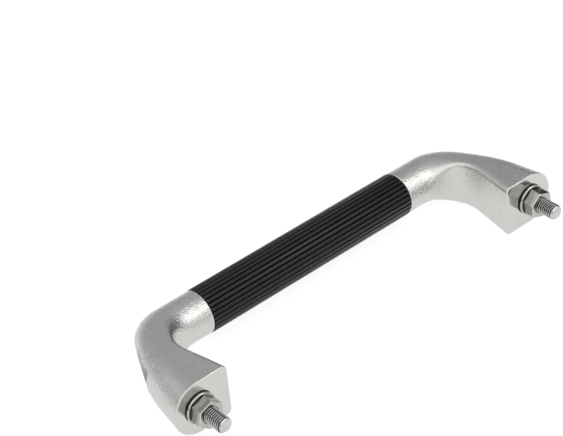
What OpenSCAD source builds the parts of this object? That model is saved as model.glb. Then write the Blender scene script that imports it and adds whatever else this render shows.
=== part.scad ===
// Tube handle with a ribbed grip and two cast legs, each with a screw, a washer and a nut.
// X runs along the grip. The feet stand on the plane y = 0 and the screws point along -Y.
// Z is the sideways direction of the legs. The origin is midway between the two screws.

/* [Handle] */
// Distance between the two screws
screw_spacing = 264; // [200:1:500]
// Height of the grip's centre line above the mounting face
grip_height = 64.5; // [58:0.5:80]
// Distance from a screw's axis inward to the end face of its leg
leg_reach = 52.5; // [48:0.5:70]

/* [Grip] */
// Wall of the ribbed sleeve, from the tube to the tops of its ribs
sleeve_wall = 2.2; // [1.8:0.1:4]
// Number of lengthwise grooves in the sleeve
groove_count = 30; // [16:1:36]
// Width of one groove
groove_w = 1.1; // [0.6:0.05:1.4]
// Depth of one groove
groove_depth = 0.7; // [0.3:0.05:1]
// Angle of the first groove round the grip, from the leg's side towards its mounting face
groove_turn = 4.5; // [0:0.5:12]
// Chamfer on the sleeve's ends
sleeve_chamfer = 0.8; // [0.2:0.05:1]
// Outer diameter of the tube inside the sleeve
tube_d = 24; // [20:0.5:25]
// Wall of the tube
tube_wall = 2; // [1:0.25:3]
// Length of the spigot that carries the tube
spigot_l = 24; // [10:1:40]
// Chamfer on the spigot's end
spigot_chamfer = 1; // [0.5:0.25:2]

/* [Leg] */
// Diameter of the round end of a leg
collar_d = 28; // [26:0.5:32]
// Chamfer on the leg's round end, next to the sleeve
collar_chamfer = 0.5; // [0.2:0.1:1]
// Width of the foot, and the diameter of its round outer end
foot_w = 35; // [30:0.2:40]
// Distance from the screw's axis to the square inner end of the foot
foot_inner = 21; // [18:0.5:28]
// Corner radius of the foot's square inner end
foot_corner_r = 3.5; // [1.5:0.5:8]
// Lean of the leg's outer side towards the grip, in degrees
outer_lean = 10.25; // [0:0.25:14]
// Height at which the outer side starts to bend
outer_bend_h = 16.5; // [8:0.5:26]
// Distance from the screw's axis inward to where the outer side's bend ends
outer_bend_end = 24.5; // [16:0.5:40]
// Lean of the leg's inner side away from the grip, in degrees
inner_lean = 10; // [0:0.25:14]
// Height at which the inner side starts to bend
inner_bend_h = 27.5; // [20:0.5:34]
// Distance from the screw's axis inward to where the inner side's bend ends
inner_bend_end = 43.5; // [36:0.5:47]

/* [Screw] */
// Diameter of the screw's thread
thread_d = 10; // [8:0.5:12]
// Pitch of the thread
thread_pitch = 1.5; // [1:0.25:1.75]
// Length of the screw below its head
screw_l = 50; // [45:1:65]
// Diameter of the screw's head
head_d = 16; // [13:0.5:18]
// Height of the screw's head
head_h = 6.5; // [6:0.5:10]
// Width across the flats of the hexagon socket in the head
key_w = 8; // [5:0.5:8]
// Depth of the hexagon socket
key_depth = 4; // [2:0.5:4.5]
// Chamfer on the screw's tip
tip_chamfer = 1; // [0.5:0.1:1.5]
// Chamfer on the screw's head
head_chamfer = 0.8; // [0.4:0.1:1.2]
// Height of the seat that the screw's head sits on
seat_h = 28; // [24:0.5:30]
// Height of the recess's rim, above which it's open to the leg's outer side
rim_h = 35.4; // [32:0.2:40]
// Gap round the screw's head in its recess
head_gap = 0.3; // [0.1:0.05:0.5]
// Gap round the screw in the leg and in the washer
screw_gap = 0.4; // [0.2:0.05:0.6]

/* [Washer and nut] */
// Outer diameter of the washer
washer_d = 20; // [18:0.5:24]
// Thickness of the washer
washer_t = 2; // [1:0.25:3]
// Rounding of the washer's outer edge
washer_round = 0.5; // [0.2:0.05:0.5]
// Width of the nut across its flats
nut_w = 16; // [14:0.5:18]
// Height of the nut
nut_h = 8; // [6:0.5:10]
// Diameter of the flat ring on each face of the nut
nut_face_d = 15.2; // [13:0.2:15.8]
// Angle from the outward direction to a corner of the nut, in degrees
nut_turn = 40; // [0:1:59]

/* [Hidden] */

// Radial clearance between the tube, its spigots and the sleeve, and between nut and screw
slide_gap = 0.1;
// How much thinner the screw's shank is than its thread
shank_relief = 0.2;
// Depth from a metric thread's outer diameter to its pitch diameter, in pitches
pitch_drop = 0.6495;
// Share of a leg's length taken by its straight foot, for blending its sections
foot_share = 0.28;
// Shares of a leg's length between which its section grows round
round_from = 0.48;
round_to = 0.92;
// How far each bend's ends pull along the sides, as shares of the bend's height and run
outer_pull_up = 0.31;
outer_pull_in = 0.58;
inner_pull_up = 1.08;
inner_pull_in = 0.45;
// Steps of the leg's mesh: up the foot, round the bend, round the outer end, round each corner
foot_steps = 6;
bend_steps = 26;
end_steps = 20;
corner_steps = 7;
// Steps of a full circle on the turned parts, and on their grooves and small roundings
round_steps = 64;
small_steps = 24;
// Overshoot of a cut past the face that it starts from
cut_over = 1;

sleeve_l = screw_spacing - 2 * leg_reach;
sleeve_d = tube_d + 2 * slide_gap + 2 * sleeve_wall;
collar_r = collar_d / 2;
foot_r = foot_w / 2;
grip_top = grip_height + collar_r;
grip_under = grip_height - collar_r;
spigot_d = tube_d - 2 * tube_wall - 2 * slide_gap;
// Screw and nut meet at the middle of the thread's depth
pitch_d = thread_d - pitch_drop * thread_pitch;
shank_d = thread_d - shank_relief;
nut_face_y = -washer_t - nut_h;
tip_y = seat_h - screw_l;
screw_hole_d = thread_d + 2 * screw_gap;
recess_w = head_d + 2 * head_gap;

// Smooth step from 0 to 1
function ease(x) = let (c = min(max(x, 0), 1)) c * c * (3 - 2 * c);
function mix(a, b, share) = a + (b - a) * share;
function bezier(a, b, c, d, t) =
    pow(1 - t, 3) * a + 3 * pow(1 - t, 2) * t * b + 3 * (1 - t) * t * t * c + t * t * t * d;

// One side of the leg from its foot to its collar, as points in the plane of the handle.
// It goes straight up with a lean, bends round, and runs on to the chamfer at the collar's end.
function side_line(foot, lean, bend_h, bend_end, top, end_top, pull_up, pull_in) =
    let (start = [foot[0] + bend_h * tan(lean), bend_h],
         along = [sin(lean), cos(lean)],
         finish = [-bend_end, top],
         rise = top - bend_h,
         run = start[0] + bend_end)
    concat(
        [for (i = [0:foot_steps - 1]) mix(foot, start, i / foot_steps)],
        [for (i = [0:bend_steps])
            bezier(start, start + along * rise * pull_up, finish + [run * pull_in, 0], finish,
                   i / bend_steps)],
        [[collar_chamfer - leg_reach, top], [-leg_reach, end_top]]);

// Share of the leg's length at one ring, where 1 is the end of the bend
function ring_share(i) =
    i < foot_steps ? foot_share * i / foot_steps
                   : min(foot_share + (1 - foot_share) * (i - foot_steps) / bend_steps, 1);

// Points on a quarter or half ellipse, as [along the section, sideways]
function arc(along, sideways, angles) = [for (a = angles) [along * cos(a), sideways * sin(a)]];

// Section of the leg: round at its outer end, with two rounded corners at its inner end.
// As roundness goes from 0 to 1, the two corners grow until the whole section is one ellipse,
// which is what a slanted cut through the round collar is.
function section(length, half_w, roundness) =
    let (outer_a = mix(half_w, length / 2, roundness),
         corner_a = mix(foot_corner_r, length / 2, roundness),
         corner_b = mix(foot_corner_r, half_w, roundness),
         end_angles = [for (i = [0:end_steps]) 180 * i / end_steps - 90],
         corner_angles = [for (i = [0:corner_steps - 1]) 90 * (i + 0.5) / corner_steps])
    concat(
        [for (p = arc(outer_a, half_w, end_angles)) p + [length - outer_a, 0]],
        [for (p = arc(corner_a, corner_b, [for (a = corner_angles) 90 + a]))
            p + [corner_a, half_w - corner_b]],
        [for (p = arc(corner_a, corner_b, [for (a = corner_angles) 180 + a]))
            p + [corner_a, corner_b - half_w]]);

// One ring of the leg's surface between a point of its inner side and one of its outer side,
// with a trim off its half width for the chamfer
function ring(inner, outer, share, trim) =
    let (length = norm(outer - inner),
         along = (outer - inner) / length,
         half_w = mix(foot_r, collar_r, ease(share)) - trim,
         roundness = ease((share - round_from) / (round_to - round_from)))
    [for (p = section(length, half_w, roundness))
        [inner[0] + along[0] * p[0], inner[1] + along[1] * p[0], p[1]]];

// Solid between a list of rings that all have as many points
module loft(rings) {
    count = len(rings[0]);
    last = len(rings) - 1;
    sides = [for (i = [0:last - 1], j = [0:count - 1])
        let (a = i * count + j, b = i * count + (j + 1) % count)
        each [[a, b, a + count], [b, b + count, a + count]]];
    polyhedron(points = [for (r = rings) each r],
               faces = concat([[for (j = [count - 1:-1:0]) j]], sides,
                              [[for (j = [0:count - 1]) last * count + j]]));
}

// A leg's outer surface with its screw axis on the Y axis and its collar towards -X
module leg_body() {
    outer = side_line([foot_r, 0], -outer_lean, outer_bend_h, outer_bend_end, grip_top,
                      grip_top - collar_chamfer, outer_pull_up, outer_pull_in);
    inner = side_line([-foot_inner, 0], inner_lean, inner_bend_h, inner_bend_end, grip_under,
                      grip_under + collar_chamfer, inner_pull_up, inner_pull_in);
    last = len(outer) - 1;
    loft([for (i = [0:last])
        ring(inner[i], outer[i], ring_share(i), i == last ? collar_chamfer : 0)]);
}

// Round recess for the screw's head and its key, open to the leg's outer side above its rim
module head_recess() {
    translate([0, seat_h, 0]) rotate([-90, 0, 0])
        cylinder(d = recess_w, h = grip_top - seat_h + cut_over, $fn = round_steps);
    translate([0, rim_h, -recess_w / 2]) cube([foot_w, grip_top - rim_h + cut_over, recess_w]);
}

// Plug along +Z that carries the end of the tube, rooted one radius deep in the collar
module spigot() {
    r = spigot_d / 2;
    rotate_extrude($fn = round_steps)
        polygon([[0, -collar_r], [r, -collar_r], [r, spigot_l - spigot_chamfer],
                 [r - spigot_chamfer, spigot_l], [0, spigot_l]]);
}

module leg() {
    difference() {
        union() {
            leg_body();
            translate([-leg_reach, grip_height, 0]) rotate([0, -90, 0]) spigot();
        }
        head_recess();
        translate([0, -cut_over, 0]) rotate([-90, 0, 0])
            cylinder(d = screw_hole_d, h = seat_h + 2 * cut_over, $fn = round_steps);
    }
}

// Puts a part that is drawn round the right screw's axis at one side, mirrored for the left side
module placed(side) {
    translate([side * screw_spacing / 2, 0, 0]) mirror([side < 0 ? 1 : 0, 0, 0]) children();
}

module tube() {
    translate([-sleeve_l / 2, grip_height, 0]) rotate([0, 90, 0]) difference() {
        cylinder(d = tube_d, h = sleeve_l, $fn = round_steps);
        translate([0, 0, -cut_over])
            cylinder(d = tube_d - 2 * tube_wall, h = sleeve_l + 2 * cut_over, $fn = round_steps);
    }
}

// One groove with a round bottom, cut inward from the sleeve's surface
module groove_profile() {
    centre = sleeve_d / 2 - groove_depth + groove_w / 2;
    translate([centre, 0]) circle(d = groove_w, $fn = small_steps);
    translate([centre, -groove_w / 2]) square([groove_depth + 2 * cut_over, groove_w]);
}

module sleeve_profile() {
    difference() {
        circle(d = sleeve_d + 2 * cut_over, $fn = round_steps);
        circle(d = tube_d + 2 * slide_gap, $fn = round_steps);
        for (i = [0:groove_count - 1]) rotate(groove_turn + 360 * i / groove_count) groove_profile();
    }
}

// Ribbed sleeve: grooves along its whole length, and a chamfer at each end
module sleeve() {
    r = sleeve_d / 2;
    h = sleeve_l / 2;
    translate([0, grip_height, 0]) rotate([0, 90, 0]) intersection() {
        translate([0, 0, -h]) linear_extrude(sleeve_l) sleeve_profile();
        rotate_extrude($fn = round_steps)
            polygon([[0, -h], [r - sleeve_chamfer, -h], [r, sleeve_chamfer - h],
                     [r, h - sleeve_chamfer], [r - sleeve_chamfer, h], [0, h]]);
    }
}

// Socket head screw along the Y axis, narrowed where the nut's thread grips it
module screw() {
    head_top = seat_h + head_h;
    tip_r = thread_d / 2;
    difference() {
        rotate([-90, 0, 0]) rotate_extrude($fn = round_steps)
            polygon([[0, tip_y], [tip_r - tip_chamfer, tip_y], [tip_r, tip_y + tip_chamfer],
                     [tip_r, nut_face_y], [pitch_d / 2, nut_face_y], [pitch_d / 2, -washer_t],
                     [shank_d / 2, -washer_t], [shank_d / 2, seat_h], [head_d / 2, seat_h],
                     [head_d / 2, head_top - head_chamfer], [head_d / 2 - head_chamfer, head_top],
                     [0, head_top]]);
        translate([0, head_top - key_depth, 0]) rotate([-90, 0, 0])
            cylinder(d = key_w / cos(30), h = key_depth + cut_over, $fn = 6);
    }
}

// Washer under the foot, with its outer edge rounded on both sides
module washer() {
    r = washer_d / 2;
    hole_r = screw_hole_d / 2;
    rotate([-90, 0, 0]) rotate_extrude($fn = round_steps) {
        translate([hole_r, -washer_t]) square([r - washer_round - hole_r, washer_t]);
        translate([hole_r, washer_round - washer_t])
            square([r - hole_r, washer_t - 2 * washer_round]);
        for (y = [-washer_round, washer_round - washer_t])
            translate([r - washer_round, y]) circle(r = washer_round, $fn = small_steps);
    }
}

// Hexagon nut under the washer, with its corners turned off at both faces
module nut() {
    corner_r = nut_w / 2 / cos(30);
    face_r = nut_face_d / 2;
    reach = corner_r + cut_over;
    slope = (reach - face_r) * tan(30);
    bore_r = pitch_d / 2 + slide_gap;
    mouth_r = thread_d / 2 + slide_gap;
    translate([0, nut_face_y, 0]) rotate([-90, 0, 0]) difference() {
        intersection() {
            rotate(-nut_turn) cylinder(r = corner_r, h = nut_h, $fn = 6);
            rotate_extrude($fn = round_steps)
                polygon([[0, 0], [face_r, 0], [reach, slope], [reach, nut_h - slope],
                         [face_r, nut_h], [0, nut_h]]);
        }
        translate([0, 0, -cut_over]) cylinder(r = bore_r, h = nut_h + 2 * cut_over, $fn = round_steps);
        cylinder(r1 = mouth_r, r2 = bore_r, h = mouth_r - bore_r, $fn = round_steps);
        translate([0, 0, nut_h - mouth_r + bore_r])
            cylinder(r1 = bore_r, r2 = mouth_r, h = mouth_r - bore_r, $fn = round_steps);
    }
}

module leg_left() { color("silver") placed(-1) leg(); }
module leg_right() { color("silver") placed(1) leg(); }
module core_tube() { color("lightgray") tube(); }
module grip_sleeve() { color([0.13, 0.13, 0.13]) sleeve(); }
module screw_left() { color("gainsboro") placed(-1) screw(); }
module screw_right() { color("gainsboro") placed(1) screw(); }
module washer_left() { color("gainsboro") placed(-1) washer(); }
module washer_right() { color("gainsboro") placed(1) washer(); }
module nut_left() { color("gainsboro") placed(-1) nut(); }
module nut_right() { color("gainsboro") placed(1) nut(); }

leg_left();
leg_right();
core_tube();
grip_sleeve();
screw_left();
screw_right();
washer_left();
washer_right();
nut_left();
nut_right();
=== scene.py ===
import math

import bmesh
import bpy
import numpy as np
import openvdb
from mathutils import Matrix, Vector


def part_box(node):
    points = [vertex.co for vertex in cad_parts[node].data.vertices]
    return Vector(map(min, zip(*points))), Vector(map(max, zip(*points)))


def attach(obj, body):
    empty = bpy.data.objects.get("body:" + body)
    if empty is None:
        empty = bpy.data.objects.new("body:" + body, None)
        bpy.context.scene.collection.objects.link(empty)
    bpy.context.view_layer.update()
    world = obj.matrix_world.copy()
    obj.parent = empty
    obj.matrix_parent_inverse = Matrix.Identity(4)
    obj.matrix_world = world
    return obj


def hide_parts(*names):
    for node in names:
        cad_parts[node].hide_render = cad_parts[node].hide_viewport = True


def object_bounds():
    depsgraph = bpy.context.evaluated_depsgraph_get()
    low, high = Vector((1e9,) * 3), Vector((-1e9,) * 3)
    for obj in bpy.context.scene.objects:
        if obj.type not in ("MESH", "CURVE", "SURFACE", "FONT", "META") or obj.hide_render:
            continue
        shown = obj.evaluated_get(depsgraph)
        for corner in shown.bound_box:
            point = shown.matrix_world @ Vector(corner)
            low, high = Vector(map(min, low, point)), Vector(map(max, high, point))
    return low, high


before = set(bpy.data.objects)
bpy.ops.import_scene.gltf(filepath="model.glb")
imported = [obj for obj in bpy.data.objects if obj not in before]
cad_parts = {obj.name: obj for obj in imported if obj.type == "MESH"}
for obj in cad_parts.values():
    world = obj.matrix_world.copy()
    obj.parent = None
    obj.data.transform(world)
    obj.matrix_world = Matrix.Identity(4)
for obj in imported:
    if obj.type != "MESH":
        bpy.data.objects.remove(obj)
CAD_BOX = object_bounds()

# Everything is modelled in millimetres and scaled to metres when a mesh is made.
MM = 0.001
BODY = "root"
SIDES = ((-1, "left"), (1, "right"))
X, Y, Z = 0, 1, 2


def span(node, axis):
    """Lowest and highest value of a CAD node along an axis, in mm."""
    lo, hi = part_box(node)
    return lo[axis] / MM, hi[axis] / MM


def middle(node, axis):
    """Middle of a CAD node along an axis, in mm."""
    lo, hi = span(node, axis)
    return (lo + hi) / 2


# Sizes that the frame gives
screw_x = middle("screw_right", X)
grip_y = middle("core_tube", Y)
tube_r = span("core_tube", Z)[1]
sleeve_r = span("grip_sleeve", Z)[1]
sleeve_half = span("grip_sleeve", X)[1]
foot_r = span("leg_right", Z)[1]
collar_r = span("leg_right", Y)[1] - grip_y
spigot_end = span("leg_right", X)[0]
tip_y, head_top = span("screw_right", Y)
head_r = span("screw_right", Z)[1]
nut_y, washer_y = span("nut_right", Y)
washer_r = span("washer_right", Z)[1]
floor_z = CAD_BOX[0].z / MM

# Leg: the same form as the CAD leg's, about its screw's axis, with the collar towards -X
leg_reach = screw_x - sleeve_half
foot_inner = 21
foot_corner_r = 3.5
seat_h, rim_h = 28, 35.4
recess_r = 8.3
screw_hole_r = 5.4
spigot_r, spigot_l, spigot_chamfer = 9.9, sleeve_half - spigot_end, 1

# Its side lines: lean in degrees, where the bend starts and ends, and the curve's pulls as shares of the bend
outer_lean, outer_bend_h, outer_bend_end = 10.25, 16.5, 24.5
outer_pull_up, outer_pull_in = 0.31, 0.58
inner_lean, inner_bend_h, inner_bend_end = 10, 27.5, 43.5
inner_pull_up, inner_pull_in = 1.08, 0.45

# Its section, as shares of the way to the collar: end of the straight lean, and where it starts and ends
# turning from the foot's form into the round one
foot_share, round_from, round_to = 0.28, 0.48, 0.92

# Edge roundings of the cast leg, and the level set that makes them: its voxel, and in voxels its half width
# and the room round the leg
foot_edge_r = 0.5
collar_chamfer = 0.5
recess_edge_r = 0.8
voxel, band, margin = 0.45, 5, 3

# Sleeve
groove_count, groove_w, groove_depth, groove_turn = 30, 1.1, 0.7, 4.5
rib_edge_r = 0.4
sleeve_end_r = 0.8
sleeve_gap = 0.05

# Screw: its thread, whose depth is a share of the pitch, and its shank
thread_r, thread_pitch, thread_depth = 5, 1.5, 0.6134
tip_chamfer, tip_edge = 1, 0.15
thread_top = 8
shank_r, neck_fillet = 4.9, 0.3

# Screw head: its lower edge, the knurled band between two plain ones, its upper edge and its socket
base_inset, base_edge_h = 0.6, 0.4
plain_inset, knurl_depth = 0.1, 0.25
knurl_above_seat, knurl_below_top, knurl_run = 1.5, 1.6, 0.3
head_edge = 0.8
key_w, key_depth = 8, 4
socket_edge_w, socket_edge_h = 0.15, 0.3
drill_r, drill_l = 0.3, 0.8

# Nut and washer
nut_w, nut_face_r, nut_turn, nut_edge = 16, 8.5, 40, 0.25
nut_chamfer_angle, nut_bevel = 30, 0.09
nut_bore_gap, nut_mouth = 0.06, 0.6
washer_round, washer_bore_chamfer = 0.8, 0.2

# Painted light and shade on the fasteners' steel, as (mm, share) along the thread's radius or, for nut and
# washer, along Y
# Screw: painted shade, darkest in the thread's roots and the key socket
SCREW_PAINTED_SHADE = [(4, 0.04), (4.35, 0.06), (4.8, 0.5), (4.94, 1)]
# Nut: painted highlight along its front edge, and painted shadow at its base where it meets the washer
NUT_PAINTED_LIGHT = [(nut_y, 0.62), (nut_y + 0.03, 0.62), (nut_y + 0.06, 1), (nut_y + 0.3, 1), (nut_y + 0.4, 0.52),
              (washer_y - 0.9, 0.48), (washer_y - 0.5, 0.06), (washer_y, 0.03)]
# Washer: painted shade on its nut side and a dark painted shadow on its foot side, lighter over its rim
WASHER_PAINTED_SHADE = [(washer_y, 0.4), (washer_y + 0.04, 0.45), (washer_y + 0.1, 0.72), (-1.3, 0.72), (-0.95, 0.1),
                 (0, 0.04)]

# Share of the tone on the screw's tip, which keeps the painted shade of the thread's roots off it, and over
# how many mm it fades into the thread's
TIP_SHADE, TIP_FADE = 0.78, 0.1

# Tones of the materials, as (place on a cloudy noise, colour)
CAST_TONES = [(0.35, (0.585, 0.58, 0.565)), (0.65, (0.605, 0.6, 0.585))]
STEEL_TONES = [(0.3, (0.66, 0.65, 0.63)), (0.7, (0.78, 0.77, 0.75))]
TUBE_TONES = [(0.3, (0.56, 0.56, 0.55)), (0.7, (0.66, 0.66, 0.65))]
RUBBER_TONES = [(0.3, (0.007, 0.0068, 0.0066)), (0.7, (0.013, 0.0125, 0.012))]

# Heights in mm between which the foot's machined face turns into the blasted sides
FACE_FADE = (0.1, 0.3)

# How far below a rib's top, in mm, the groove's painted shade and the crown's dull surface start and end
GROOVE_PAINTED_SHADE = (0.45, 0.08)
CROWN_FADE = (0.14, 0.03)

# Camera, fitted to the photograph: angles in degrees, place in mm, focal length in pixels, sight in m
PHOTO_W = 563
CAM_AZIMUTH, CAM_ELEVATION, CAM_ROLL = -37.906, 35.886, -5.594
CAM_AT = (-543.5, -616.8, 656.3)
FOCAL_PX = 1803.9
SENSOR_W = 36
CLIP_END = 100

# Studio dome: directions of its large front light, its dark slot and its side tent, each with the cosines
# between which it fades in
FRONT, FRONT_FADE = (-0.34, -0.94, 0), (-0.3, 0.3)
SLOT, SLOT_FADE = (0.97, 0.2, 0.12), (0.8, 0.92)
TENT, TENT_FADE = (-0.95, 0.31, 0), (0.4, 0.65)

# Grey levels of these and of the rest of the dome, as (sine of the height above the horizon, level)
FRONT_LEVELS = [(0.0, 0.02), (0.1, 0.12), (0.18, 0.95), (0.25, 1.1), (0.6, 1.42), (0.85, 1.4), (1.0, 1.1)]
SLOT_LEVELS = [(0.0, 0.08), (0.4, 0.12), (0.7, 0.3), (1.0, 0.56)]
TENT_LEVELS = [(0.0, 0.3), (0.2, 0.5), (0.4, 0.64), (0.6, 1.2), (1.0, 1.2)]
BACK_LEVELS = [(0.0, 0.28), (0.12, 0.32), (0.32, 0.48), (0.6, 0.55), (1.0, 0.58)]

# Lamp above the handle: the direction it shines from, then its distance and size in m and its power in W
LAMP_FROM, LAMP_FAR = (0.45, -0.48, 0.75), 1.6
LAMP_SIZE, LAMP_POWER = (0.7, 0.5), 2.6

# Floor: half its width in mm, squares along a side, grey, strength of its own glow and the glow's share
FLOOR_REACH, FLOOR_SQUARES = 4000, 8
FLOOR_GREY, FLOOR_ROUGHNESS = 0.8, 0.9
FLOOR_GLOW, GLOW_SHARE = 1.12, 0.8


# Meshes

# Points closer than this, in mm, become one.
WELD = 0.002

# Steps round a washer or spigot, round a screw, along one flat of a nut and along a washer's rounding
AROUND, SCREW_AROUND, FLAT_STEPS, ARC_STEPS = 96, 72, 20, 5


def new_object(name, points, faces, smooth_angle=30):
    """Mesh object from points in mm, shaded smooth but for edges sharper than the angle."""
    mesh = bpy.data.meshes.new(name)
    mesh.from_pydata([tuple(p) for p in np.asarray(points, float) * MM], [], faces)
    bm = bmesh.new()
    bm.from_mesh(mesh)
    bmesh.ops.remove_doubles(bm, verts=bm.verts, dist=WELD * MM)
    bmesh.ops.recalc_face_normals(bm, faces=bm.faces)
    bm.to_mesh(mesh)
    bm.free()
    mesh.shade_smooth()
    mesh.set_sharp_from_angle(angle=math.radians(smooth_angle))
    obj = bpy.data.objects.new(name, mesh)
    bpy.context.scene.collection.objects.link(obj)
    return obj


def tube_faces(rings, around, closed=False):
    """Quads between neighbouring rings of points, and from the last ring to the first if closed."""
    faces = []
    for i in range(rings if closed else rings - 1):
        a, b = i * around, (i + 1) % rings * around
        for j in range(around):
            k = (j + 1) % around
            faces.append((a + j, a + k, b + k, b + j))
    return faces


def apply_bevel(obj, width, angle, smooth_angle):
    """Rounds the edges that are sharper than an angle, then shades smooth those below the other angle."""
    mod = obj.modifiers.new("bevel", "BEVEL")
    mod.width = width * MM
    mod.segments = 2
    mod.limit_method = "ANGLE"
    mod.angle_limit = math.radians(angle)
    depsgraph = bpy.context.evaluated_depsgraph_get()
    mesh = bpy.data.meshes.new_from_object(obj.evaluated_get(depsgraph))
    obj.modifiers.clear()
    obj.data = mesh
    mesh.shade_smooth()
    mesh.set_sharp_from_angle(angle=math.radians(smooth_angle))


def finish_piece(obj, slot, material, *nodes):
    """Gives a piece its material and body, and hides the CAD nodes that it stands for; its slot is not used.
    """
    obj.data.materials.clear()
    obj.data.materials.append(material)
    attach(obj, BODY)
    if nodes:
        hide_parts(*nodes)


def placed(points, side):
    """Moves points drawn about the right screw's axis to one side, mirrored for the left one."""
    out = np.array(points, float)
    out[:, X] = side * (screw_x + out[:, X])
    return out


def circle(count):
    """Angles of one whole turn."""
    return np.linspace(0, 2 * math.pi, count, endpoint=False)


def rings_about_screw(rings, a):
    """Points at the angles a, from (radius, height) pairs, each a number or one value per angle."""
    return np.concatenate([np.column_stack([r * np.cos(a), np.broadcast_to(h, a.shape), r * np.sin(a)])
                           for r, h in rings])


# Leg

def ease(x):
    """Smooth step from 0 to 1."""
    c = np.clip(x, 0, 1)
    return c * c * (3 - 2 * c)


# Steps along the foot and the bend, and round the section's outer end and each of its corners
FOOT_STEPS, BEND_STEPS, END_STEPS, CORNER_STEPS = 12, 70, 48, 14

# The loft goes this many steps past the foot and this many mm past the collar, and is then cut to length.
OVERSHOOT = 3


def side_line(foot, lean, bend_h, bend_end, top, pull_up, pull_in):
    """Points along one side of the leg, from a little below its foot to a little past its collar."""
    lean = math.radians(lean)
    foot = np.array([foot, 0.0])
    start = foot + bend_h * np.array([math.tan(lean), 1])
    finish = np.array([-bend_end, top])
    rise, run = top - bend_h, start[0] + bend_end
    up = start + rise * pull_up * np.array([math.sin(lean), math.cos(lean)])
    back = finish + np.array([run * pull_in, 0])
    straight = [foot + (start - foot) * i / FOOT_STEPS for i in range(-OVERSHOOT, FOOT_STEPS)]
    t = np.linspace(0, 1, BEND_STEPS + 1)[:, None]
    bend = (1 - t) ** 3 * start + 3 * (1 - t) ** 2 * t * up + 3 * (1 - t) * t * t * back + t ** 3 * finish
    return np.array([*straight, *bend, [-leg_reach - OVERSHOOT, top]])


def leg_section(length, half_w, roundness):
    """Half-round outer end and two rounded inner corners, which grow into one ellipse.

    Returned as distances along the section from its inner end, and sideways.
    """
    def mix(a, b):
        return a + (b - a) * roundness

    outer_a = mix(half_w, length / 2)
    corner_a, corner_b = mix(foot_corner_r, length / 2), mix(foot_corner_r, half_w)
    end = np.radians(np.linspace(-90, 90, END_STEPS + 1))
    corner = np.radians((np.arange(CORNER_STEPS) + 0.5) * 90 / CORNER_STEPS)
    upper, lower = corner + math.pi / 2, corner + math.pi
    along = np.concatenate([outer_a * np.cos(end) + length - outer_a,
                            corner_a * np.cos(upper) + corner_a, corner_a * np.cos(lower) + corner_a])
    sideways = np.concatenate([half_w * np.sin(end), corner_b * np.sin(upper) + half_w - corner_b,
                               corner_b * np.sin(lower) + corner_b - half_w])
    return along, sideways


def leg_rings():
    """Sections of the leg, each from a point of its inner side line to one of its outer side line."""
    outer = side_line(foot_r, -outer_lean, outer_bend_h, outer_bend_end, grip_y + collar_r,
                      outer_pull_up, outer_pull_in)
    inner = side_line(-foot_inner, inner_lean, inner_bend_h, inner_bend_end, grip_y - collar_r,
                      inner_pull_up, inner_pull_in)
    rings = []
    for i, (a, b) in enumerate(zip(inner, outer)):
        step = i - OVERSHOOT
        if step < FOOT_STEPS:
            share = foot_share * step / FOOT_STEPS
        else:
            share = min(foot_share + (1 - foot_share) * (step - FOOT_STEPS) / BEND_STEPS, 1)
        length = np.linalg.norm(b - a)
        half_w = foot_r + (collar_r - foot_r) * ease(share)
        roundness = ease((share - round_from) / (round_to - round_from))
        along, sideways = leg_section(length, half_w, roundness)
        direction = (b - a) / length
        rings.append(np.column_stack([a + np.outer(along, direction), sideways]))
    return np.array(rings)


def rounded_meet(a, b, r):
    """What lies inside both distance fields, with a rounding of radius r where they meet."""
    corner = np.hypot(np.maximum(a + r, 0), np.maximum(b + r, 0))
    return np.minimum(np.maximum(a, b), -r) + corner


def chamfered_meet(a, b, c):
    """What lies inside both distance fields, with a chamfer of leg c where they meet."""
    return np.maximum(np.maximum(a, b), (a + b + c) / math.sqrt(2))


def body_field():
    """Distances to the lofted body on a grid of voxels, negative inside it, and the grid's first index."""
    rings = leg_rings()
    count, around = rings.shape[:2]
    first, last = list(range(around)), list(range((count - 1) * around, count * around))
    caps = [(ring[0], ring[i], ring[i + 1]) for ring in (first, last) for i in range(1, around - 1)]
    grid = openvdb.FloatGrid.createLevelSetFromPolygons(
        rings.reshape(-1, 3).astype(np.float32), triangles=np.array(caps, np.uint32),
        quads=np.array(tube_faces(count, around), np.uint32),
        transform=openvdb.createLinearTransform(voxelSize=voxel), halfWidth=float(band))
    low = np.array([-leg_reach, 0, -foot_r]) - margin * voxel
    high = np.array([foot_r, grip_y + collar_r, foot_r]) + margin * voxel
    corner = np.floor(low / voxel).astype(int)
    shape = np.ceil(high / voxel).astype(int) - corner + 1
    body = np.full(tuple(shape), band * voxel, np.float32)
    corner = tuple(int(c) for c in corner)
    grid.copyToArray(body, ijk=corner)
    return body, corner


def leg_surface():
    """Points and quads of the cast leg: the lofted body cut to length, with its recess and hole."""
    body, corner = body_field()
    x, y, z = [(first + np.arange(count)) * voxel for first, count in zip(corner, body.shape)]
    x, y, z = x[:, None, None], y[None, :, None], z[None, None, :]
    slot = np.where(x > 0, np.abs(z), np.hypot(x, z)) - recess_r
    bore = np.maximum(np.hypot(x, z) - recess_r, seat_h - y)
    recess = np.minimum(np.maximum(slot, rim_h - y), bore)
    hole = np.hypot(x, z) - screw_hole_r
    body = rounded_meet(body, -y, foot_edge_r)
    body = chamfered_meet(body, -x - leg_reach, collar_chamfer)
    body = rounded_meet(body, -recess, recess_edge_r)
    body = rounded_meet(body, -hole, foot_edge_r)
    body = np.clip(body, -band * voxel, band * voxel).astype(np.float32)
    out = openvdb.FloatGrid(band * voxel)
    out.transform = openvdb.createLinearTransform(voxelSize=voxel)
    out.copyFromArray(body, ijk=corner)
    return out.convertToQuads(isovalue=0.0)


def make_legs(material):
    """Both cast legs, from one surface, each with its spigot."""
    points, quads = leg_surface()
    faces = [tuple(int(i) for i in q) for q in quads]
    for side, name in SIDES:
        leg = new_object(f"cast_leg_{name}", placed(points, side), faces, smooth_angle=50)
        finish_piece(leg, "leg_metal", material, f"leg_{name}")
        make_spigot(side, name, material)


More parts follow.
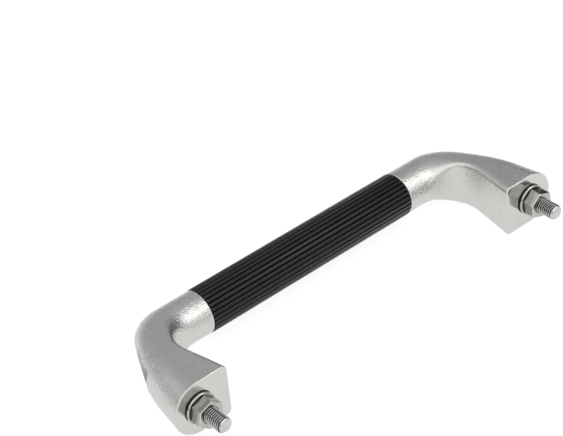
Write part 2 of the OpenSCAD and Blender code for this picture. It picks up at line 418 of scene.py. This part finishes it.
def make_spigot(side, name, material):
    """The part of the leg inside the tube: rings about the grip's axis, from (radius, distance) pairs."""
    a = circle(AROUND)
    profile = [(0, 0), (spigot_r, 0), (spigot_r, spigot_l - spigot_chamfer),
               (spigot_r - spigot_chamfer, spigot_l), (0, spigot_l)]
    rings = [np.column_stack([np.full(AROUND, -leg_reach - d), grip_y + r * np.cos(a), r * np.sin(a)])
             for r, d in profile]
    points = placed(np.concatenate(rings), side)
    spigot = new_object(f"spigot_{name}", points, tube_faces(len(profile), AROUND))
    finish_piece(spigot, "leg_metal", material)


# Screws, washers and nuts

def arc_profile(centre_r, centre_h, r, start, end):
    """Points on an arc in the (radius, height) plane, with angles in degrees from outward to up."""
    return [(centre_r + r * math.cos(a), centre_h + r * math.sin(a))
            for a in np.radians(np.linspace(start, end, ARC_STEPS + 1))]


def make_washer(side, name, material):
    """Plain washer with a chamfered bore and a rounded outer edge."""
    edge_r, chamfer = washer_round, washer_bore_chamfer
    centre_r = washer_r - edge_r
    profile = ([(screw_hole_r, washer_y + chamfer), (screw_hole_r + chamfer, washer_y)]
               + arc_profile(centre_r, washer_y + edge_r, edge_r, -90, 0)
               + arc_profile(centre_r, -edge_r, edge_r, 0, 90)
               + [(screw_hole_r + chamfer, 0), (screw_hole_r, -chamfer)])
    points = placed(rings_about_screw(profile, circle(AROUND)), side)
    washer = new_object(f"plain_washer_{name}", points, tube_faces(len(profile), AROUND, closed=True))
    finish_piece(washer, "fastener_steel", material, f"washer_{name}")


def make_nut(side, name, material):
    """Hexagon nut: rings from the bore over the outer face, down the flats and back inside."""
    turn = math.radians(nut_turn)
    a = turn + circle(6 * FLAT_STEPS)
    from_flat = (a - turn) % (math.pi / 3) - math.pi / 6
    hexagon = nut_w / 2 / np.cos(from_flat)
    face_r = np.minimum(hexagon - nut_edge, nut_face_r)
    rise = np.maximum((hexagon - face_r) * math.tan(math.radians(nut_chamfer_angle)), nut_edge)
    bore_r, mouth_r = thread_r + nut_bore_gap, thread_r + nut_mouth
    low, high, funnel = nut_y, washer_y, mouth_r - bore_r
    rings = [(bore_r, low + funnel), (mouth_r, low), (face_r, low), (hexagon, low + rise),
             (hexagon, high - rise), (face_r, high), (mouth_r, high), (bore_r, high - funnel)]
    points = placed(rings_about_screw(rings, a), side)
    nut = new_object(f"hexagon_nut_{name}", points, tube_faces(len(rings), len(a), closed=True))
    apply_bevel(nut, nut_bevel, angle=25, smooth_angle=40)
    finish_piece(nut, "fastener_steel", material, f"nut_{name}")


def thread_rows():
    """One pitch of the thread as (share of the pitch, radius): its rounded crest, then its root."""
    root_r = thread_r - thread_depth * thread_pitch
    crest = [(0, 0.1), (0.03, 0.03), (0.07, 0), (0.12, 0), (0.16, 0.03), (0.19, 0.1)]
    root = [(0.42, 0.08), (0.48, 0), (0.7, 0), (0.76, 0.08)]
    return ([(share, thread_r - drop) for share, drop in crest]
            + [(share, root_r + rise) for share, rise in root])


def helix_faces(count, around, lift):
    """Quads between the rows of a helix, which go on lift rows higher where a turn ends."""
    faces = []
    for j in range(count - 1):
        row, above = j * around, (j + 1) * around
        faces += [(row + i, row + i + 1, above + i + 1, above + i) for i in range(around - 1)]
        if j + lift + 1 < count:
            end = around - 1
            faces.append((row + end, row + lift * around, above + lift * around, above + end))
    return faces


def thread_helix(a):
    """Rows of the thread as (radius, height), cut off at the tip's chamfer and at the plain shank."""
    turns = math.ceil((thread_top - tip_y) / thread_pitch) + 2
    rows = []
    for k in range(turns):
        for share, r in thread_rows():
            base = tip_y + (k - 1 + share) * thread_pitch
            y = np.clip(base + thread_pitch * a / (2 * math.pi), tip_y, thread_top)
            radius = np.minimum(r, thread_r - tip_chamfer + (y - tip_y))
            rows.append((np.where(y >= thread_top, shank_r, radius), y))
    return rows


def head_rings(a):
    """Rings of the shank, the knurled head and its hexagon socket as (radius, height)."""
    plain_r = head_r - plain_inset
    knurl = np.where(np.arange(len(a)) % 2, head_r - knurl_depth, head_r)
    from_flat = a % (math.pi / 3) - math.pi / 6
    hexagon = key_w / 2 / np.cos(from_flat)
    socket_r = key_w / 2 / math.cos(math.pi / 6) + socket_edge_w
    return [(shank_r, thread_top), (shank_r, seat_h - neck_fillet), (shank_r + neck_fillet, seat_h),
            (head_r - base_inset, seat_h), (plain_r, seat_h + base_edge_h),
            (plain_r, seat_h + knurl_above_seat - knurl_run), (knurl, seat_h + knurl_above_seat),
            (knurl, head_top - knurl_below_top), (plain_r, head_top - knurl_below_top + knurl_run),
            (plain_r, head_top - head_edge), (head_r - head_edge, head_top), (socket_r, head_top),
            (hexagon, head_top - socket_edge_h), (hexagon, head_top - key_depth),
            (drill_r, head_top - key_depth - drill_l)]


def make_screw(side, name, material):
    """Socket head screw: helical thread, flat tip, plain shank and head."""
    a = circle(SCREW_AROUND)
    helix = thread_helix(a)
    points = rings_about_screw(helix, a)
    faces = helix_faces(len(helix), SCREW_AROUND, len(thread_rows()))
    tip_r = thread_r - tip_chamfer
    for rings in ([(tip_r, tip_y), (tip_r - tip_edge, tip_y)], head_rings(a)):
        start, last = len(points), len(points) + (len(rings) - 1) * SCREW_AROUND
        points = np.concatenate([points, rings_about_screw(rings, a)])
        faces += [tuple(start + i for i in f) for f in tube_faces(len(rings), SCREW_AROUND)]
        faces.append(tuple(range(last, last + SCREW_AROUND)))
    screw = new_object(f"socket_screw_{name}", placed(points, side), faces, smooth_angle=28)
    finish_piece(screw, "fastener_steel", material, f"screw_{name}")


# Sleeve

# Steps along half a groove and a rib's edge, and where points lie between that edge and the rib's middle
GROOVE_STEPS, EDGE_STEPS, CROWN_SHARES = 6, 4, (0.5, 0.75, 1)


def rib_outline():
    """Outline as (angle, radius) pairs: half a groove and half a rib, mirrored to a whole pitch, repeated."""
    half = math.pi / groove_count
    bottom_r = groove_w / 2
    centre = sleeve_r - groove_depth + bottom_r
    groove = []
    for t in np.radians(np.linspace(0, 90, GROOVE_STEPS + 1)):
        along, r = bottom_r * math.sin(t), centre - bottom_r * math.cos(t)
        groove.append((math.atan2(along, r), math.hypot(along, r)))
    edge = []
    for t in np.radians(np.linspace(0, 90, EDGE_STEPS + 1)):
        along = bottom_r + rib_edge_r * (1 - math.cos(t))
        r = sleeve_r - rib_edge_r * (1 - math.sin(t))
        edge.append((along / sleeve_r, r))
    wall = math.atan2(bottom_r, sleeve_r)
    crown = [(wall + (half - wall) * share, sleeve_r) for share in CROWN_SHARES]
    side = groove + edge + crown
    whole = side + [(2 * half - angle, r) for angle, r in reversed(side[1:-1])]
    return [(angle + k * 2 * half, r) for k in range(groove_count) for angle, r in whole]


def make_sleeve(material):
    """Ribbed rubber sleeve with rounded ends, open over the core tube."""
    outline = np.array(rib_outline())
    angle, outline_r = outline[:, 0] + math.radians(groove_turn), outline[:, 1]
    around = len(angle)
    c = sleeve_end_r
    ends = [(sleeve_half - c * share, sleeve_r - c + c * math.sin(share * math.pi / 2))
            for share in (0, 0.5, 1)]
    limits = ends + [(-x, limit) for x, limit in reversed(ends)]
    inner = np.full(around, tube_r + sleeve_gap)
    outer = [(x, np.minimum(outline_r, limit)) for x, limit in limits]
    rings = [(sleeve_half, inner), *outer, (-sleeve_half, inner)]
    points = [np.column_stack([np.full(around, x), grip_y - r * np.sin(angle), r * np.cos(angle)])
              for x, r in rings]
    faces = tube_faces(len(rings), around, closed=True)
    sleeve = new_object("ribbed_sleeve", np.concatenate(points), faces, smooth_angle=50)
    finish_piece(sleeve, "sleeve_rubber", material, "grip_sleeve")


# Materials

def add_node(tree, kind, inputs=(), **settings):
    """New node with its settings; each input is a value or the socket that feeds it."""
    node = tree.nodes.new(kind)
    for key, value in settings.items():
        setattr(node, key, value)
    for key, value in dict(inputs).items():
        if isinstance(value, bpy.types.NodeSocket):
            tree.links.new(value, node.inputs[key])
        else:
            node.inputs[key].default_value = value
    return node


def add_colours(tree, value, stops):
    """Colour ramp over a value, from (position, colour) pairs."""
    node = add_node(tree, "ShaderNodeValToRGB", {"Fac": value})
    elements = node.color_ramp.elements
    while len(elements) < len(stops):
        elements.new(0.5)
    for element, (position, colour) in zip(elements, stops):
        element.position = position
        element.color = (*colour, 1)
    return node.outputs["Color"]


class Shader:
    """Small helper round one material's node tree."""

    def __init__(self, name):
        self.material = bpy.data.materials.new(name)
        self.material.use_nodes = True
        self.tree = self.material.node_tree
        self.bsdf = self.tree.nodes["Principled BSDF"]
        self.where = self.add("ShaderNodeTexCoord").outputs["Object"]

    def add(self, kind, inputs=(), **settings):
        return add_node(self.tree, kind, inputs, **settings)

    def number(self, operation, *values):
        return self.add("ShaderNodeMath", dict(enumerate(values)), operation=operation).outputs[0]

    def vector(self, operation, *values):
        return self.add("ShaderNodeVectorMath", dict(enumerate(values)), operation=operation).outputs[0]

    def length(self, vector):
        return self.add("ShaderNodeVectorMath", {0: vector}, operation="LENGTH").outputs["Value"]

    def noise(self, size, detail=3, roughness=0.5, where=None):
        """Noise whose grains are about size mm across."""
        node = self.add("ShaderNodeTexNoise", {"Vector": where or self.where, "Scale": 1 / (size * MM),
                                               "Detail": detail, "Roughness": roughness})
        return node.outputs["Fac"]

    def ramp(self, value, start, end, low, high):
        """Goes from low to high while the value goes from start to end."""
        node = self.add("ShaderNodeMapRange", {"Value": value, "From Min": start, "From Max": end,
                                               "To Min": low, "To Max": high})
        return node.outputs["Result"]

    def ramp_mm(self, value, span_mm, low, high):
        """Goes from low to high while a length goes from one value in mm to another."""
        start, end = span_mm
        return self.ramp(value, start * MM, end * MM, low, high)

    def colours(self, value, stops):
        return add_colours(self.tree, value, stops)

    def bump(self, height, depth, strength, normal=None):
        """Relief depth mm deep, on top of another one's normal if it is given."""
        inputs = {"Height": height, "Distance": depth * MM, "Strength": strength}
        if normal is not None:
            inputs["Normal"] = normal
        return self.add("ShaderNodeBump", inputs).outputs["Normal"]

    def link(self, output, name):
        self.tree.links.new(output, self.bsdf.inputs[name])

    def set(self, **values):
        for key, value in values.items():
            self.bsdf.inputs[key.replace("_", " ")].default_value = value


def cast_metal():
    """Shot-blasted cast steel: a coarse and a fine grain, slightly mottled; the foot's face is machined."""
    s = Shader("cast_metal")
    s.set(Metallic=1.0)
    fine, coarse = s.noise(size=0.6, roughness=0.6), s.noise(size=1.2, detail=2)
    cloud = s.noise(size=9)
    height = s.add("ShaderNodeSeparateXYZ", {"Vector": s.where}).outputs["Y"]
    s.link(s.colours(cloud, CAST_TONES), "Base Color")
    s.link(s.ramp_mm(height, FACE_FADE, low=0.14, high=0.23), "Roughness")
    blasted = s.ramp_mm(height, FACE_FADE, low=0, high=1)
    normal = s.bump(coarse, depth=0.34, strength=blasted)
    s.link(s.bump(fine, depth=0.08, strength=blasted, normal=normal), "Normal")
    return s.material


def turned_steel(name, along, stops, tip=None):
    """Bright steel with fine turning marks round each screw's axis, with painted highlights on edges and
    painted shade in gaps and roots.

    The stops are (mm, share of the tone) pairs along the radius or, for along "height", along Y.
    Below the height tip, if it is given, the share is at least that of the screw's tip.
    """
    s = Shader(name)
    s.set(Metallic=1.0)
    split = s.add("ShaderNodeSeparateXYZ", {"Vector": s.where})
    height = split.outputs["Y"]
    distance = s.number("SUBTRACT", s.number("ABSOLUTE", split.outputs["X"]), screw_x * MM)
    across = s.add("ShaderNodeCombineXYZ", {"X": distance, "Y": 0.0, "Z": split.outputs["Z"]})
    radius = s.length(across.outputs[0])
    rings = s.add("ShaderNodeCombineXYZ", {"X": radius, "Y": height, "Z": 0.0})
    marks = s.noise(size=0.12, detail=2, where=rings.outputs[0])
    cloud = s.noise(size=2.5)
    # Painted light and shade: the tone's share follows the stops, darker in roots, socket and gaps and
    # lighter along the nut's front edge
    low, high = stops[0][0], stops[-1][0]
    place = s.ramp_mm(height if along == "height" else radius, (low, high), 0, 1)
    share = s.colours(place, [((mm - low) / (high - low), (level, level, level)) for mm, level in stops])
    if tip is not None:
        at_tip = s.ramp_mm(height, (tip - TIP_FADE, tip), TIP_SHADE, 0)
        share = s.vector("MAXIMUM", share, at_tip)
    s.link(s.vector("MULTIPLY", s.colours(cloud, STEEL_TONES), share), "Base Color")
    s.link(s.ramp(marks, 0.3, 0.7, low=0.07, high=0.13), "Roughness")
    s.link(s.bump(marks, depth=0.012, strength=0.6), "Normal")
    return s.material


def brushed_tube():
    """Drawn tube, brushed along its length."""
    s = Shader("brushed_tube")
    s.set(Metallic=1.0)
    stretch = s.add("ShaderNodeMapping", {"Vector": s.where, "Scale": (0.03, 1, 1)})
    lines = s.noise(size=0.2, where=stretch.outputs[0])
    s.link(s.colours(lines, TUBE_TONES), "Base Color")
    s.link(s.ramp(lines, 0.3, 0.7, low=0.25, high=0.4), "Roughness")
    s.link(s.bump(lines, depth=0.01, strength=0.5), "Normal")
    return s.material


def black_rubber():
    """Black rubber with a fine moulded grain: painted shade in its grooves, and duller on its ribs' tops."""
    s = Shader("black_rubber")
    fine, patch = s.noise(size=0.35), s.noise(size=6, detail=4)
    place = s.vector("SUBTRACT", s.where, (0, grip_y * MM, 0))
    radius = s.length(s.vector("MULTIPLY", place, (0, 1, 1)))
    # Painted shade: tone and gloss fall towards each groove's bottom
    depth = s.ramp_mm(radius, [sleeve_r - below for below in GROOVE_PAINTED_SHADE], low=0.05, high=1)
    crown = s.ramp_mm(radius, [sleeve_r - below for below in CROWN_FADE], low=1, high=0.28)
    s.link(s.vector("MULTIPLY", s.colours(patch, RUBBER_TONES), depth), "Base Color")
    s.link(s.number("MULTIPLY", depth, crown), "Specular IOR Level")
    s.link(s.ramp(patch, 0.3, 0.7, low=0.26, high=0.36), "Roughness")
    s.link(s.bump(fine, depth=0.02, strength=0.5), "Normal")
    return s.material


# Studio

def make_floor():
    """White floor under the handle: part of its brightness is its own, so the shadow stays faint."""
    row = FLOOR_SQUARES + 1
    line = np.linspace(-FLOOR_REACH, FLOOR_REACH, row)
    points = [(x, y, floor_z) for y in line for x in line]
    faces = [(j * row + i, j * row + i + 1, (j + 1) * row + i + 1, (j + 1) * row + i)
             for j in range(FLOOR_SQUARES) for i in range(FLOOR_SQUARES)]
    floor = new_object("floor", points, faces)
    s = Shader("floor_white")
    s.set(Base_Color=(FLOOR_GREY, FLOOR_GREY, FLOOR_GREY, 1), Roughness=FLOOR_ROUGHNESS)
    glow = s.add("ShaderNodeEmission", {"Color": (1, 1, 1, 1), "Strength": FLOOR_GLOW})
    mix = s.add("ShaderNodeMixShader", {"Fac": GLOW_SHARE, 1: s.bsdf.outputs[0], 2: glow.outputs[0]})
    s.tree.links.new(mix.outputs[0], s.tree.nodes["Material Output"].inputs["Surface"])
    floor.data.materials.append(s.material)


def make_lamp():
    """Soft lamp that shines at the handle, with its width along the grip."""
    lamp = bpy.data.lights.new("overhead", "AREA")
    lamp.shape = "RECTANGLE"
    lamp.size, lamp.size_y = LAMP_SIZE
    lamp.energy = LAMP_POWER
    obj = bpy.data.objects.new("overhead", lamp)
    bpy.context.scene.collection.objects.link(obj)
    back = Vector(LAMP_FROM).normalized()
    side = (Vector((1, 0, 0)) - back.x * back).normalized()
    place = Matrix((side, back.cross(side), back)).transposed().to_4x4()
    place.translation = Vector((0, grip_y * MM / 2, 0)) + back * LAMP_FAR
    obj.matrix_world = place


def make_world():
    """Studio dome: a bright front above a dark horizon, a grey back, a dark slot and a bright side tent."""
    world = bpy.data.worlds.new("studio")
    bpy.context.scene.world = world
    world.use_nodes = True
    tree = world.node_tree
    where = add_node(tree, "ShaderNodeTexCoord").outputs["Generated"]
    height = add_node(tree, "ShaderNodeSeparateXYZ", {"Vector": where}).outputs["Z"]

    def by_height(levels):
        return add_colours(tree, height, [(position, (grey, grey, grey)) for position, grey in levels])

    def towards(direction, fade):
        """Share from 0 to 1 as directions turn towards a given one."""
        dot = add_node(tree, "ShaderNodeVectorMath", {0: where, 1: direction}, operation="DOT_PRODUCT")
        share = {"Value": dot.outputs["Value"], "From Min": fade[0], "From Max": fade[1]}
        return add_node(tree, "ShaderNodeMapRange", share).outputs["Result"]

    def mix(share, a, b):
        """Colours a and b by share; the node's colour sockets are found by number."""
        return add_node(tree, "ShaderNodeMix", {0: share, 6: a, 7: b}, data_type="RGBA").outputs[2]

    room = mix(towards(SLOT, SLOT_FADE), by_height(BACK_LEVELS), by_height(SLOT_LEVELS))
    room = mix(towards(TENT, TENT_FADE), room, by_height(TENT_LEVELS))
    room = mix(towards(FRONT, FRONT_FADE), room, by_height(FRONT_LEVELS))
    background = tree.nodes["Background"].inputs
    tree.links.new(room, background["Color"])
    background["Strength"].default_value = 1.0


def make_camera():
    """The photograph's camera, as fitted to its outline."""
    a, e, roll = (math.radians(v) for v in (CAM_AZIMUTH, CAM_ELEVATION, CAM_ROLL))
    back = Vector((math.sin(a) * math.cos(e), -math.cos(a) * math.cos(e), math.sin(e)))
    level = Vector((math.cos(a), math.sin(a), 0))
    upright = back.cross(level)
    right = math.cos(roll) * level + math.sin(roll) * upright
    up = math.cos(roll) * upright - math.sin(roll) * level
    data = bpy.data.cameras.new("camera")
    data.sensor_width = SENSOR_W
    data.lens = FOCAL_PX / PHOTO_W * SENSOR_W
    data.clip_end = CLIP_END
    camera = bpy.data.objects.new("camera", data)
    bpy.context.scene.collection.objects.link(camera)
    place = Matrix((right, up, back)).transposed().to_4x4()
    place.translation = Vector(CAM_AT) * MM
    camera.matrix_world = place
    bpy.context.scene.camera = camera


make_camera()
make_world()
make_floor()
make_lamp()

# Steel with painted shade, and on the nut a painted highlight
screw_steel = turned_steel("screw_steel", "radius", SCREW_PAINTED_SHADE, tip=tip_y + tip_chamfer)
nut_steel = turned_steel("nut_steel", "height", NUT_PAINTED_LIGHT)
washer_steel = turned_steel("washer_steel", "height", WASHER_PAINTED_SHADE)
make_legs(cast_metal())
make_sleeve(black_rubber())
for side, name in SIDES:
    make_screw(side, name, screw_steel)
    make_washer(side, name, washer_steel)
    make_nut(side, name, nut_steel)
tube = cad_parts["core_tube"]
tube.data.materials.clear()
tube.data.materials.append(brushed_tube())

bpy.context.scene.view_settings.view_transform = "Standard"
